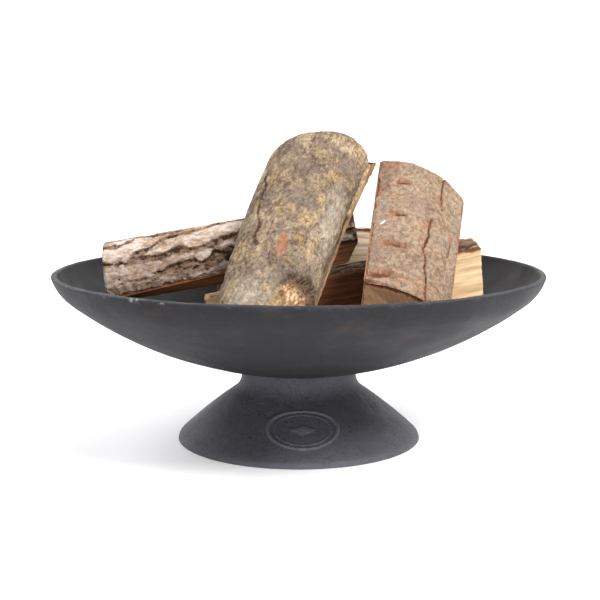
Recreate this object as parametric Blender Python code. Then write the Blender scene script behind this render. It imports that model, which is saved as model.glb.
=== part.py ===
"""A cast-iron fire bowl on a flared foot, bolted together, with a load of split firewood.

Metres, +Z up. The origin is on the floor, on the bowl's axis.
The bowl and the foot are turned shapes. Each log is a lofted piece of split trunk.
"""

import math

import bmesh
import bpy
from mathutils import Matrix, Vector

# ---- driving dimensions -------------------------------------------------
SEGMENTS = 64                  # facets around each turned casting
GAP = 0.0003                   # left between pieces that touch

RIM_RADIUS = 0.295
RIM_HEIGHT = 0.206
BELLY_RADIUS = 0.450           # the large sphere of the bowl's outside
RIM_CURVE = 0.052              # the tighter curve that turns up to the rim
BOWL_WALL = 0.0075
LIP_ROUND = 0.0018             # rounding of the rim's two edges

NECK_RADIUS = 0.070
NECK_FILLET = 0.0235
NECK_BOTTOM = 0.0795           # where the straight neck runs into the fillet
FLARE_RADIUS = 0.626           # the slight bulge of the flare
FLARE_TOP_SLOPE = math.radians(35.1)
FLARE_LOW_SLOPE = math.radians(42.8)
FOOT_EDGE = 0.0085             # rounding at the foot's widest circle
FOOT_WALL = 0.0075
BASE_FLAT = 0.006              # width of the flat ring that stands on the floor

BOLT_RADIUS = 0.005
BOLT_HOLE = 0.0055
HEX_ACROSS_FLATS = 0.017
BOLT_HEAD_HEIGHT = 0.0064
NUT_HEIGHT = 0.0084
BOLT_TAIL = 0.005              # thread that shows below the nut
WASHER_RADIUS = 0.015
WASHER_THICKNESS = 0.0025
BOSS_RADIUS = 0.022            # flat pad under the bowl, on the foot's web
BOSS_DEPTH = 0.004
SEAT_RADIUS = 0.020            # flat pad inside the bowl, under the washer
WEB_THICKNESS = 0.008

# ---- derived places -----------------------------------------------------
# The rim curve ends on the rim circle, and the belly is tangent to it.
BELLY_ANGLE = math.radians(37.9)


def bowl_heights():
    """The rim's slope, and the height of the belly's lowest point."""
    inset = (BELLY_RADIUS - RIM_CURVE) * math.sin(BELLY_ANGLE)
    rim_angle = math.asin((RIM_RADIUS - inset) / RIM_CURVE)
    drop = (BELLY_RADIUS - RIM_CURVE) * math.cos(BELLY_ANGLE) + RIM_CURVE * math.cos(rim_angle)
    return rim_angle, RIM_HEIGHT - (BELLY_RADIUS - drop)


RIM_ANGLE, BELLY_LOW = bowl_heights()
BOSS_LOW = BELLY_LOW - BOSS_DEPTH
SEAT_TOP = BELLY_LOW + BOWL_WALL + 0.001
WEB_TOP = BOSS_LOW - GAP
WEB_LOW = WEB_TOP - WEB_THICKNESS


# ---- outlines, as (radius, height) points -------------------------------
def arc(centre, radius, start, end, steps):
    """Points on an arc, with angles counted from straight down, towards +radius."""
    points = []
    for i in range(steps + 1):
        angle = start + (end - start) * i / steps
        points.append((centre[0] + radius * math.sin(angle), centre[1] - radius * math.cos(angle)))
    return points


def bowl_side(offset, first_radius, steps):
    """The bowl's outside, from first_radius to the rim, moved inwards by offset."""
    belly = BELLY_RADIUS - offset
    centre = (0.0, BELLY_LOW + BELLY_RADIUS)
    inset = BELLY_RADIUS - RIM_CURVE
    rim_centre = (inset * math.sin(BELLY_ANGLE), centre[1] - inset * math.cos(BELLY_ANGLE))
    first = math.asin(first_radius / belly)
    points = arc(centre, belly, first, BELLY_ANGLE, steps)
    points += arc(rim_centre, RIM_CURVE - offset, BELLY_ANGLE, RIM_ANGLE, steps // 2)[1:]
    return points


def bowl_outline():
    outside = bowl_side(0.0, BOSS_RADIUS + BOSS_DEPTH / 2, 8)
    inside = bowl_side(BOWL_WALL, SEAT_RADIUS + 0.004, 8)
    outer_edge, inner_edge = Vector(outside[-1]), Vector(inside[-1])
    across = (inner_edge - outer_edge).normalized() * LIP_ROUND
    outside[-1] = tuple(outer_edge + Vector((0.0, -LIP_ROUND)))
    inside[-1] = tuple(inner_edge + Vector((0.0, -LIP_ROUND)))
    lip = [tuple(outer_edge + across), tuple(inner_edge - across)]
    under = [(BOLT_HOLE, BOSS_LOW), (BOSS_RADIUS, BOSS_LOW)]
    seat = [(SEAT_RADIUS, SEAT_TOP), (BOLT_HOLE, SEAT_TOP)]
    return under + outside + lip + inside[::-1] + seat


def foot_side(offset, top):
    """The foot's outside, from the neck's top down to the widest circle, moved inwards."""
    fillet = NECK_FILLET + offset
    centre = Vector((NECK_RADIUS + NECK_FILLET, NECK_BOTTOM))
    points = [(NECK_RADIUS - offset, top)]
    points += arc(centre, fillet, -math.pi / 2, -FLARE_TOP_SLOPE, 4)
    to_flare = Vector((-math.sin(FLARE_TOP_SLOPE), -math.cos(FLARE_TOP_SLOPE)))
    centre = centre + to_flare * (NECK_FILLET + FLARE_RADIUS)
    low, high = math.pi - FLARE_LOW_SLOPE, math.pi - FLARE_TOP_SLOPE
    points += arc(centre, FLARE_RADIUS - offset, high, low, 4)[1:]
    to_edge = Vector((math.sin(FLARE_LOW_SLOPE), math.cos(FLARE_LOW_SLOPE)))
    edge_centre = centre + to_edge * (FLARE_RADIUS - FOOT_EDGE)
    return points, edge_centre


def foot_outline():
    seat_gap = BELLY_LOW + BELLY_RADIUS - GAP
    collar_in = NECK_RADIUS - FOOT_WALL

    def seat_height(radius):
        return seat_gap - math.sqrt(BELLY_RADIUS ** 2 - radius ** 2)

    outside, edge_centre = foot_side(0.0, seat_height(NECK_RADIUS))
    inside, _ = foot_side(FOOT_WALL, WEB_LOW)
    edge = arc(edge_centre, FOOT_EDGE, math.pi - FLARE_LOW_SLOPE, math.pi / 2, 3)[1:]
    widest = edge[-1][0]
    base = [(widest - 0.001, 0.0), (widest - 0.001 - BASE_FLAT, 0.0)]
    web = [(BOLT_HOLE, WEB_TOP), (collar_in - 0.003, WEB_TOP), (collar_in, WEB_TOP + 0.003)]
    seat = [(collar_in, seat_height(collar_in))]
    hidden = [point for point in inside if point[1] <= WEB_LOW]
    return web + seat + outside + edge + base + hidden[::-1] + [(BOLT_HOLE, WEB_LOW)]


# ---- makers -------------------------------------------------------------
def material(name, colour, roughness, metallic):
    made = bpy.data.materials.new(name)
    made.use_nodes = True
    shader = made.node_tree.nodes["Principled BSDF"]
    shader.inputs["Base Color"].default_value = (*colour, 1.0)
    shader.inputs["Roughness"].default_value = roughness
    shader.inputs["Metallic"].default_value = metallic
    return made


def add_object(name, mesh_maker, surface):
    """One named object from a function that fills a bmesh."""
    mesh = bpy.data.meshes.new(name)
    shape = bmesh.new()
    mesh_maker(shape)
    bmesh.ops.recalc_face_normals(shape, faces=shape.faces)
    shape.to_mesh(mesh)
    shape.free()
    mesh.materials.append(surface)
    mesh.shade_smooth()
    mesh.set_sharp_from_angle(angle=math.radians(30))
    made = bpy.data.objects.new(name, mesh)
    bpy.context.scene.collection.objects.link(made)
    return made


def turned(outline):
    """A maker for a closed outline turned around the Z axis."""
    def fill(shape):
        ring = [shape.verts.new((radius, 0.0, height)) for radius, height in outline]
        edges = [shape.edges.new((ring[i - 1], ring[i])) for i in range(len(ring))]
        bmesh.ops.spin(shape, geom=edges, angle=math.tau, steps=SEGMENTS, use_merge=True,
                       axis=(0, 0, 1), cent=(0, 0, 0))
    return fill


def ring(inner, outer, low, high, sides=48):
    """A maker for a flat ring. With six sides it is a nut, and outer is its corner radius."""
    def circle(shape, radius, height, count):
        return [shape.verts.new((radius * math.cos(math.tau * i / count),
                                 radius * math.sin(math.tau * i / count), height))
                for i in range(count)]

    def fill(shape):
        bore_sides = sides if sides > 6 else 24
        for height in (low, high):
            for radius, count in ((inner, bore_sides), (outer, sides)):
                loop = circle(shape, radius, height, count)
                for i in range(count):
                    shape.edges.new((loop[i - 1], loop[i]))
        shape.verts.ensure_lookup_table()
        for height in (low, high):
            level = [e for e in shape.edges if abs(e.verts[0].co.z - height) < 1e-7]
            bmesh.ops.triangle_fill(shape, edges=level, use_beauty=True, normal=(0, 0, 1))
        for radius in (inner, outer):
            wall = [e for e in shape.edges if e.is_boundary
                    and abs(e.verts[0].co.xy.length - radius) < 1e-6
                    and abs(e.verts[1].co.xy.length - radius) < 1e-6]
            bmesh.ops.bridge_loops(shape, edges=wall)
    return fill


def bolt(low, neck, top):
    """A maker for a hex-headed bolt, from the shank's end up to the top of its head."""
    def fill(shape):
        corner = HEX_ACROSS_FLATS / 2 / math.cos(math.pi / 6)
        stack = [(low, BOLT_RADIUS - 0.001, 24), (low + 0.001, BOLT_RADIUS, 24),
                 (neck, BOLT_RADIUS, 24), (neck, corner, 6), (top, corner, 6)]
        loops = []
        for height, radius, count in stack:
            loops.append([shape.verts.new((radius * math.cos(math.tau * i / count),
                                           radius * math.sin(math.tau * i / count), height))
                          for i in range(count)])
        for loop in loops:
            for i in range(len(loop)):
                shape.edges.new((loop[i - 1], loop[i]))
        for below, above in zip(loops, loops[1:]):
            if len(below) == len(above):
                for i in range(len(below)):
                    shape.faces.new((below[i - 1], below[i], above[i], above[i - 1]))
        shape.faces.new(loops[0])
        shape.faces.new(loops[-1])
        shoulder = [e for e in shape.edges if e.is_boundary]
        bmesh.ops.triangle_fill(shape, edges=shoulder, use_beauty=True, normal=(0, 0, 1))
    return fill


# ---- firewood -----------------------------------------------------------
# Each log's section is a bark arc over a chord, closed below by the split faces.
# start and end are the chord's middle at the two ends, and face is the way that the
# bark looks. chord and rise give the arc at each end. corners are the split's corners
# at each end, as (across, out) from the chord's middle, and how far short of the end
# the corner stops. At the start, a negative value reaches past the end. slant leans each
# sawn end, in metres along the log for each metre (across, out). bow is how far the log's
# middle is bent aside, as (across, out).
LOGS = {
    "log_left": dict(
        start=(-0.238, 0.035, 0.1883), end=(0.071, 0.044, 0.254), face=(-0.18, -0.47, 0.86),
        chord=(0.087, 0.066), rise=(0.048, 0.036),
        corners=([(0.022, -0.022, 0.0)], [(0.040, -0.024, 0.018)]),
        slant=((0.0, 0.12), (-0.06, 0.0)), bow=(0.0, 0.0)),
    "log_centre": dict(
        start=(-0.048, -0.140, 0.126), end=(0.0243, 0.0627, 0.3297), face=(-0.02, -0.71, 0.71),
        chord=(0.100, 0.124), rise=(0.072, 0.057),
        corners=([(0.049, -0.004, 0.0)], [(0.0705, -0.005, 0.0)]),
        slant=((0.0, 0.0), (0.33, 0.12)), bow=(-0.0055, 0.0)),
    "log_right": dict(
        start=(0.1148, -0.1791, 0.1969), end=(0.154, 0.058, 0.311), face=(0.30, -0.47, 0.83),
        chord=(0.100, 0.116), rise=(0.015, 0.020),
        corners=([(0.041, -0.057, -0.020), (-0.037, -0.057, -0.032)],
                 [(0.052, -0.058, 0.0), (-0.047, -0.050, 0.0)]),
        slant=((-0.15, -0.60), (-0.22, -0.06)), bow=(0.0, 0.0)),
    "log_back": dict(
        start=(-0.112, 0.172, 0.1968), end=(0.128, 0.166, 0.1958), face=(0.0, 0.97, 0.24),
        chord=(0.1005, 0.0965), rise=(0.044, 0.043),
        corners=([(-0.006, -0.012, 0.0)], [(-0.004, -0.010, 0.0)]),
        slant=((0.0, 0.0), (0.0, 0.0)), bow=(0.0, 0.0)),
    "log_front": dict(
        start=(-0.1051, -0.0126, 0.1402), end=(0.229, 0.077, 0.2002), face=(-0.31, 0.75, 0.59),
        chord=(0.098, 0.072), rise=(0.033, 0.041),
        corners=([(-0.003, -0.061, 0.006)], [(-0.002, -0.050, 0.013)]),
        slant=((-0.13, 0.0), (0.0, 0.0)), bow=(0.0, 0.0)),
}
BARK_STEPS = 12
STATIONS = 5                   # sections along a log


def log_frame(entry):
    """Local axes of a log: X across, Y along, Z out through the middle of the bark."""
    start, end = Vector(entry["start"]), Vector(entry["end"])
    along = (end - start).normalized()
    out = Vector(entry["face"])
    out = (out - along * out.dot(along)).normalized()
    across = along.cross(out)
    turn = Matrix((across, along, out)).transposed().to_4x4()
    return Matrix.Translation(start) @ turn, (end - start).length


def log_section(chord, rise, corners):
    """The outline of a split trunk, as (across, out, how far short of the end) points."""
    radius = (chord * chord / 4 + rise * rise) / (2 * rise)
    spread = 2 * math.atan(2 * rise / chord)
    points = []
    for i in range(BARK_STEPS + 1):
        angle = spread * (2 * i / BARK_STEPS - 1)
        points.append((radius * math.sin(angle), radius * math.cos(angle) + rise - radius, 0.0))
    return points + corners


def log(entry, length):
    """A maker for a split log: its two end sections, joined along a slightly bent line."""
    ends = [log_section(entry["chord"][i], entry["rise"][i], entry["corners"][i]) for i in (0, 1)]
    (start_lean, end_lean), bow = entry["slant"], entry["bow"]

    def point(i, t):
        (x0, z0, short0), (x1, z1, short1) = ends[0][i], ends[1][i]
        bend = 4 * t * (1 - t)
        lean = (1 - t) * (start_lean[0] * x0 + start_lean[1] * z0 + short0)
        lean += t * (end_lean[0] * x1 + end_lean[1] * z1 - short1)
        x, z = x0 + (x1 - x0) * t, z0 + (z1 - z0) * t
        return x + bow[0] * bend, t * length + lean, z + bow[1] * bend

    def fill(shape):
        loops = [[shape.verts.new(point(i, j / (STATIONS - 1))) for i in range(len(ends[0]))]
                 for j in range(STATIONS)]
        for near, far in zip(loops, loops[1:]):
            for i in range(len(near)):
                shape.faces.new((near[i - 1], near[i], far[i], far[i - 1]))
        shape.faces.new(loops[0])
        shape.faces.new(loops[-1])
        bmesh.ops.triangulate(shape, faces=shape.faces)
    return fill


# ---- build --------------------------------------------------------------
def clear_scene():
    for old in list(bpy.data.objects):
        bpy.data.objects.remove(old)


def build_castings():
    iron = material("cast_iron", (0.055, 0.057, 0.062), 0.62, 0.35)
    add_object("bowl", turned(bowl_outline()), iron)
    add_object("foot", turned(foot_outline()), iron)


def build_fasteners():
    steel = material("zinc_steel", (0.42, 0.43, 0.44), 0.38, 0.9)
    corner = HEX_ACROSS_FLATS / 2 / math.cos(math.pi / 6)
    washer_low = SEAT_TOP + GAP
    head_low = washer_low + WASHER_THICKNESS + GAP
    under_high = WEB_LOW - GAP
    nut_high = under_high - WASHER_THICKNESS - GAP
    nut_low = nut_high - NUT_HEIGHT
    add_object("bowl_washer", ring(BOLT_HOLE, WASHER_RADIUS, washer_low,
                                   washer_low + WASHER_THICKNESS), steel)
    add_object("foot_washer", ring(BOLT_HOLE, WASHER_RADIUS,
                                   under_high - WASHER_THICKNESS, under_high), steel)
    add_object("centre_nut", ring(BOLT_RADIUS + GAP, corner, nut_low, nut_high, sides=6), steel)
    add_object("centre_bolt", bolt(nut_low - BOLT_TAIL, head_low,
                                   head_low + BOLT_HEAD_HEIGHT), steel)


def build_firewood():
    wood = material("bark", (0.42, 0.34, 0.26), 0.9, 0.0)
    for name, entry in LOGS.items():
        frame, length = log_frame(entry)
        made = add_object(name, log(entry, length), wood)
        made.matrix_world = frame


def main():
    clear_scene()
    build_castings()
    build_fasteners()
    build_firewood()


main()
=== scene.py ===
import math

import bpy
import numpy as np
from mathutils import Matrix, Vector


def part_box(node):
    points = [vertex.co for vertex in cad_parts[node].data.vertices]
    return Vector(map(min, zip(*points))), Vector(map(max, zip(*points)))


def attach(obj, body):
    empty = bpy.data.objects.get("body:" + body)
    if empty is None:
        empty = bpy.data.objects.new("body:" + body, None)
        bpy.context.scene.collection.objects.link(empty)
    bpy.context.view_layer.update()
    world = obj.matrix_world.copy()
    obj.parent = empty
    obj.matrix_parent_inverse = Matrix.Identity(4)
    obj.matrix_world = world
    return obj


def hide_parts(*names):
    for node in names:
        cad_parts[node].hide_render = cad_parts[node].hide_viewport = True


# A cast-iron fire bowl on a flared foot, with a load of split firewood.
# Metres, +Z up. The origin is on the floor, on the bowl's axis, and -Y is the badge's side.

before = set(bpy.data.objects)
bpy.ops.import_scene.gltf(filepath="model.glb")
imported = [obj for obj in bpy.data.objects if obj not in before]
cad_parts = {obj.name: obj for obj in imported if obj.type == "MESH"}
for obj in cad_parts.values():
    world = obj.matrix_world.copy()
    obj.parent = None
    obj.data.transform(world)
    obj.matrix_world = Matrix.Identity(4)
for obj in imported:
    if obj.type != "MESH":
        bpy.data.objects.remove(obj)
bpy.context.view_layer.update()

# ---- driving dimensions ---------------------------------------------------
RIM_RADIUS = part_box("bowl")[1].x
BOWL_WALL = 0.0075
BELLY_RADIUS = 0.450
BELLY_ANGLE = math.radians(37.9)   # where the belly turns into the rim's tighter curve
RIM_CURVE = 0.052
LIP_ROUND = 0.0022
BOSS_RADIUS = 0.022
BOSS_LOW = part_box("bowl")[0].z
BELLY_LOW = BOSS_LOW + 0.004
SEAT_RADIUS = 0.020

NECK_RADIUS = 0.070
NECK_FILLET = 0.0235
NECK_BOTTOM = 0.0795
FLARE_RADIUS = 0.626
FLARE_TOP_SLOPE = math.radians(35.1)
FLARE_LOW_SLOPE = math.radians(42.8)
FOOT_EDGE = 0.0085
FOOT_WALL = 0.0075
BASE_FLAT = 0.006
WEB_THICKNESS = 0.008
GAP = 0.0003

BOLT_RADIUS = 0.005
BOLT_HOLE = 0.0055
THREAD_PITCH = 0.0015
THREAD_DEPTH = 0.0007
THREAD_LENGTH = 0.024
THREAD_RUNOUT = 0.002
THREAD_LEVELS = 140
POINT_HEIGHT = 0.0012
POINT_CUT = 0.0008
BOLT_HEAD = 0.0064
HEX_ACROSS_FLATS = 0.017
CHAMFER_START = 0.97               # of the way to the flats, at the chamfer's small end
CHAMFER_SLOPE = 1.8
HEX_LEVELS = 15
HEX_COLUMNS = 96
WASHER_EDGE = 0.0004
WASHER_COLUMNS = 128
FASTENER_SHARP = 30                # degrees

BADGE_HEIGHT_ON_FOOT = 0.0360      # height of the badge's middle above the floor
BADGE_WIDTH = 0.088
BADGE_TALL = 0.056
BADGE_RELIEF = 0.0016
BADGE_ANGLE = -math.pi / 2 + 0.005 / 0.118    # the badge sits a little to the right of the front
BADGE_SLOPE = math.radians(39)     # how steep the flare is at the badge
BADGE_BAND = (0.006, 0.066)        # the heights between which the badge may lie
LOZENGE_HALF = (0.017, 0.0085)
FINE_FRONT = math.radians(27)      # the foot's mesh is finer within this angle of the badge


# ---- noise ------------------------------------------------------------------
def lattice(x, y, z, seed):
    """A fixed value from -1 to 1 for each whole-numbered point."""
    with np.errstate(over="ignore"):
        n = x.astype(np.uint32) * np.uint32(374761393)
        n += y.astype(np.uint32) * np.uint32(668265263)
        n += z.astype(np.uint32) * np.uint32(2246822519)
        n += np.uint32((seed * 3266489917 + 1442695041) % 2 ** 32)
        n = (n ^ (n >> np.uint32(15))) * np.uint32(2246822519)
        n = (n ^ (n >> np.uint32(13))) * np.uint32(3266489917)
        n = n ^ (n >> np.uint32(16))
    return n.astype(np.float64) / 2147483648.0 - 1.0


def noise(points, seed):
    """Smooth noise from -1 to 1 with features one unit across."""
    cell = np.floor(points).astype(np.int64)
    part = points - cell
    part = part * part * part * (part * (part * 6 - 15) + 10)
    total = np.zeros(points.shape[:-1])
    for corner in range(8):
        step = np.array([corner & 1, corner >> 1 & 1, corner >> 2])
        share = np.where(step == 1, part, 1 - part).prod(axis=-1)
        at = cell + step
        total += share * lattice(at[..., 0], at[..., 1], at[..., 2], seed)
    return total


NOISE_REACH = 1.25     # brings layered noise to about -1 to 1


def fractal(points, size, seed, octaves=4, gain=0.5):
    """Layered noise of about -1 to 1. size is the largest feature's size in metres, as one
    number or per axis."""
    at = points / np.array(size)
    total, share, whole = 0.0, 1.0, 0.0
    for octave in range(octaves):
        total = total + share * noise(at * 2.0 ** octave + 31.7 * octave, seed * 7 + octave)
        whole += share * share
        share *= gain
    return total / math.sqrt(whole) * NOISE_REACH


def smooth(low, high, value):
    part = np.clip((value - low) / (high - low), 0.0, 1.0)
    return part * part * (3 - 2 * part)


# ---- meshes -----------------------------------------------------------------
def grid_quads(rows, columns):
    """Quads between rows of points, each row a closed ring."""
    start = np.arange(rows - 1)[:, None] * columns
    here = np.arange(columns)[None, :]
    following = (here + 1) % columns
    corners = (start + here, start + following,
               start + columns + following, start + columns + here)
    return np.stack(corners, axis=-1).reshape(-1, 4)


def make_object(name, points, faces, materials, material_of_face=None, values=None, sharp=35):
    """A smooth-shaded mesh object, with values stored on its points under their names."""
    mesh = bpy.data.meshes.new(name)
    mesh.from_pydata(np.asarray(points).tolist(), [], [list(map(int, f)) for f in faces])
    for material in materials:
        mesh.materials.append(material)
    if material_of_face is not None:
        mesh.polygons.foreach_set("material_index", np.asarray(material_of_face, np.int32))
    for key, value in (values or {}).items():
        value = np.asarray(value, np.float32)
        kind, field = ("FLOAT_VECTOR", "vector") if value.ndim == 2 else ("FLOAT", "value")
        layer = mesh.attributes.new(key, kind, "POINT")
        layer.data.foreach_set(field, value.reshape(-1))
    mesh.shade_smooth()
    mesh.set_sharp_from_angle(angle=math.radians(sharp))
    made = bpy.data.objects.new(name, mesh)
    bpy.context.scene.collection.objects.link(made)
    return made


def row_normals(points):
    """Outward normals of a grid of points, rows closed around themselves."""
    around = np.roll(points, -1, axis=1) - np.roll(points, 1, axis=1)
    along = np.gradient(points, axis=0)
    normal = np.cross(around, along)
    return normal / (np.linalg.norm(normal, axis=-1, keepdims=True) + 1e-12)


# ---- node materials -----------------------------------------------------------
class Surface:
    """A node material, built by short calls that each return a socket."""

    def __init__(self, name, grain=False):
        """grain places the pattern by the piece's own stored coordinates, not the object's."""
        self.material = bpy.data.materials.new(name)
        self.material.use_nodes = True
        self.tree = self.material.node_tree
        self.shader = self.tree.nodes["Principled BSDF"]
        if grain:
            self.place = self.node("ShaderNodeAttribute", attribute_name="grain").outputs["Vector"]
        else:
            self.place = self.node("ShaderNodeTexCoord").outputs["Object"]

    def node(self, kind, values=None, **settings):
        made = self.tree.nodes.new(kind)
        for key, value in settings.items():
            setattr(made, key, value)
        for key, value in (values or {}).items():
            if isinstance(value, bpy.types.NodeSocket):
                self.tree.links.new(value, made.inputs[key])
            else:
                made.inputs[key].default_value = value
        return made

    def stretched(self, stretch):
        """The point's place, scaled by stretch on each axis."""
        values = {"Vector": self.place, "Scale": stretch}
        return self.node("ShaderNodeMapping", values).outputs["Vector"]

    def noise(self, size, stretch=(1, 1, 1), detail=5.0, roughness=0.6, warp=0.0, shift=0.0):
        """Noise from 0 to 1. size is the largest feature's size in metres."""
        where = self.stretched(stretch)
        if shift:
            where = self.node("ShaderNodeVectorMath", {0: where, 1: (shift, -shift, shift)},
                              operation="ADD").outputs[0]
        values = {"Vector": where, "Scale": 1.0 / size, "Detail": detail,
                  "Roughness": roughness, "Distortion": warp}
        return self.node("ShaderNodeTexNoise", values).outputs["Fac"]

    def cells(self, size, stretch=(1, 1, 1)):
        """The distance to the middle of the nearest of irregular cells."""
        values = {"Vector": self.stretched(stretch), "Scale": 1.0 / size}
        return self.node("ShaderNodeTexVoronoi", values).outputs["Distance"]

    def value(self, name):
        return self.node("ShaderNodeAttribute", attribute_name=name).outputs["Fac"]

    def remap(self, value, low, high, to_low=0.0, to_high=1.0):
        values = {"Value": value, "From Min": low, "From Max": high,
                  "To Min": to_low, "To Max": to_high}
        made = self.node("ShaderNodeMapRange", values, interpolation_type="SMOOTHSTEP")
        return made.outputs["Result"]

    def maths(self, operation, first, second=0.0):
        made = self.node("ShaderNodeMath", {0: first, 1: second}, operation=operation)
        return made.outputs[0]

    def mix(self, factor, first, second, blend="MIX"):
        made = self.node("ShaderNodeMix", data_type="RGBA", blend_type=blend)
        sockets = {s.identifier: s for s in made.inputs}
        for key, value in (("Factor_Float", factor), ("A_Color", first), ("B_Color", second)):
            if isinstance(value, bpy.types.NodeSocket):
                self.tree.links.new(value, sockets[key])
            else:
                sockets[key].default_value = value if key == "Factor_Float" else (*value, 1.0)
        return next(s for s in made.outputs if s.identifier == "Result_Color")

    def over(self, colour, tint, field, low, high, share=1.0):
        """The colour, with up to share of the tint where the field goes from low to high."""
        return self.mix(self.remap(field, low, high, 0.0, share), colour, tint)

    def where(self, colour, name, tint, share=None):
        """The colour, with the tint where the points store a value under this name."""
        amount = self.value(name)
        if share is not None:
            amount = self.maths("MULTIPLY", amount, share)
        return self.mix(amount, colour, tint)

    def bump(self, height, strength, distance, normal=None):
        values = {"Height": height, "Strength": strength, "Distance": distance}
        if normal is not None:
            values["Normal"] = normal
        return self.node("ShaderNodeBump", values).outputs["Normal"]

    def finish(self, colour, roughness, normal=None, metallic=0.0, specular=0.5):
        links = self.tree.links
        links.new(colour, self.shader.inputs["Base Color"])
        links.new(roughness, self.shader.inputs["Roughness"])
        if normal is not None:
            links.new(normal, self.shader.inputs["Normal"])
        self.shader.inputs["Metallic"].default_value = metallic
        self.shader.inputs["Specular IOR Level"].default_value = specular
        return self.material


def linear(red, green, blue):
    """A colour given on a 0 to 255 screen scale, as linear light."""
    return tuple(c / 255 / 12.92 if c < 10.3 else ((c / 255 + 0.055) / 1.055) ** 2.4
                 for c in (red, green, blue))


def tinted(colour, factor):
    """A linear colour made lighter or darker."""
    return tuple(c * factor for c in colour)


def cast_iron(name, base, brown_share, grain_size, grain_depth):
    """Matte cast iron: sandy grain, a dull bloom, faint rust, a paler edge that is partly wear and
    partly painted highlight, and painted shade where the points ask for it.
    """
    s = Surface(name)
    cloud = s.noise(0.16, detail=4.0, shift=3.1)
    bloom = s.noise(0.045, detail=6.0, roughness=0.65, shift=7.7)
    sand = s.noise(grain_size, detail=3.0, roughness=0.7)
    speck = s.noise(grain_size * 2.4, detail=2.0, shift=1.3)
    colour = s.mix(s.remap(cloud, 0.3, 0.7), tinted(base, 0.78), tinted(base, 1.08))
    colour = s.over(colour, tinted(base, 1.5), bloom, 0.45, 0.8, 0.4)
    colour = s.over(colour, tinted(base, 1.9), sand, 0.35, 0.75, 0.3)
    colour = s.over(colour, tinted(base, 0.35), speck, 0.60, 0.75, 0.6)
    rust = s.maths("MULTIPLY", s.remap(s.noise(0.07, (1, 1, 2.5), 5.0, shift=11.9), 0.52, 0.68),
                   s.remap(s.noise(0.012, detail=4.0, shift=5.0), 0.35, 0.7))
    colour = s.mix(s.maths("MULTIPLY", rust, brown_share), colour, linear(82, 62, 46))
    scratch = s.noise(0.012, (1.0, 1.0, 12.0), detail=2.0, roughness=0.5, shift=21.0)
    where = s.remap(s.noise(0.12, detail=1.0, shift=15.0), 0.52, 0.7)
    scratch = s.maths("MULTIPLY", s.remap(scratch, 0.64, 0.74), where)
    colour = s.mix(s.maths("MULTIPLY", scratch, 0.35), colour, tinted(base, 3.0))
    # painted shade: the bowl's inside is painted much darker
    colour = s.where(colour, "bowl_inside_shade", tinted(base, 0.35), 0.85)
    # painted highlight and wear: paler rim top, foot edge and badge relief
    colour = s.where(colour, "wear_and_highlight", tinted(base, 3.4))
    chip = s.maths("MULTIPLY", s.value("chipped"), s.remap(s.noise(0.003, detail=3.0), 0.35, 0.6))
    colour = s.mix(chip, colour, linear(176, 178, 184))
    rough = s.remap(bloom, 0.3, 0.8, 0.66, 0.54)
    normal = s.bump(sand, 0.5, grain_depth)
    normal = s.bump(speck, 0.45, grain_depth * 1.8, normal)
    return s.finish(colour, rough, normal, metallic=0.3, specular=0.32)


def zinc_steel():
    s = Surface("zinc_steel_worn")
    spangle = s.cells(0.003)
    stain = s.noise(0.006, detail=5.0)
    colour = s.mix(s.remap(spangle, 0.2, 0.8), linear(168, 170, 172), linear(142, 144, 148))
    colour = s.over(colour, linear(84, 74, 64), stain, 0.5, 0.75, 0.55)
    rough = s.remap(stain, 0.3, 0.8, 0.34, 0.6)
    normal = s.bump(stain, 0.3, 0.0003)
    return s.finish(colour, rough, normal, metallic=0.9)


# tint, size, detail, roughness, warp, shift, and the noise where the patch starts and is full
BARK_PATCHES = (("pale", 0.055, 4.0, 0.55, 0.6, 2.0, 0.47, 0.62),
                ("warm", 0.030, 5.0, 0.6, 0.5, 17.0, 0.53, 0.68),
                ("green", 0.022, 5.0, 0.7, 0.5, 27.0, 0.55, 0.70),
                ("grey", 0.020, 6.0, 0.7, 1.0, 37.0, 0.54, 0.66))


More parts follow.
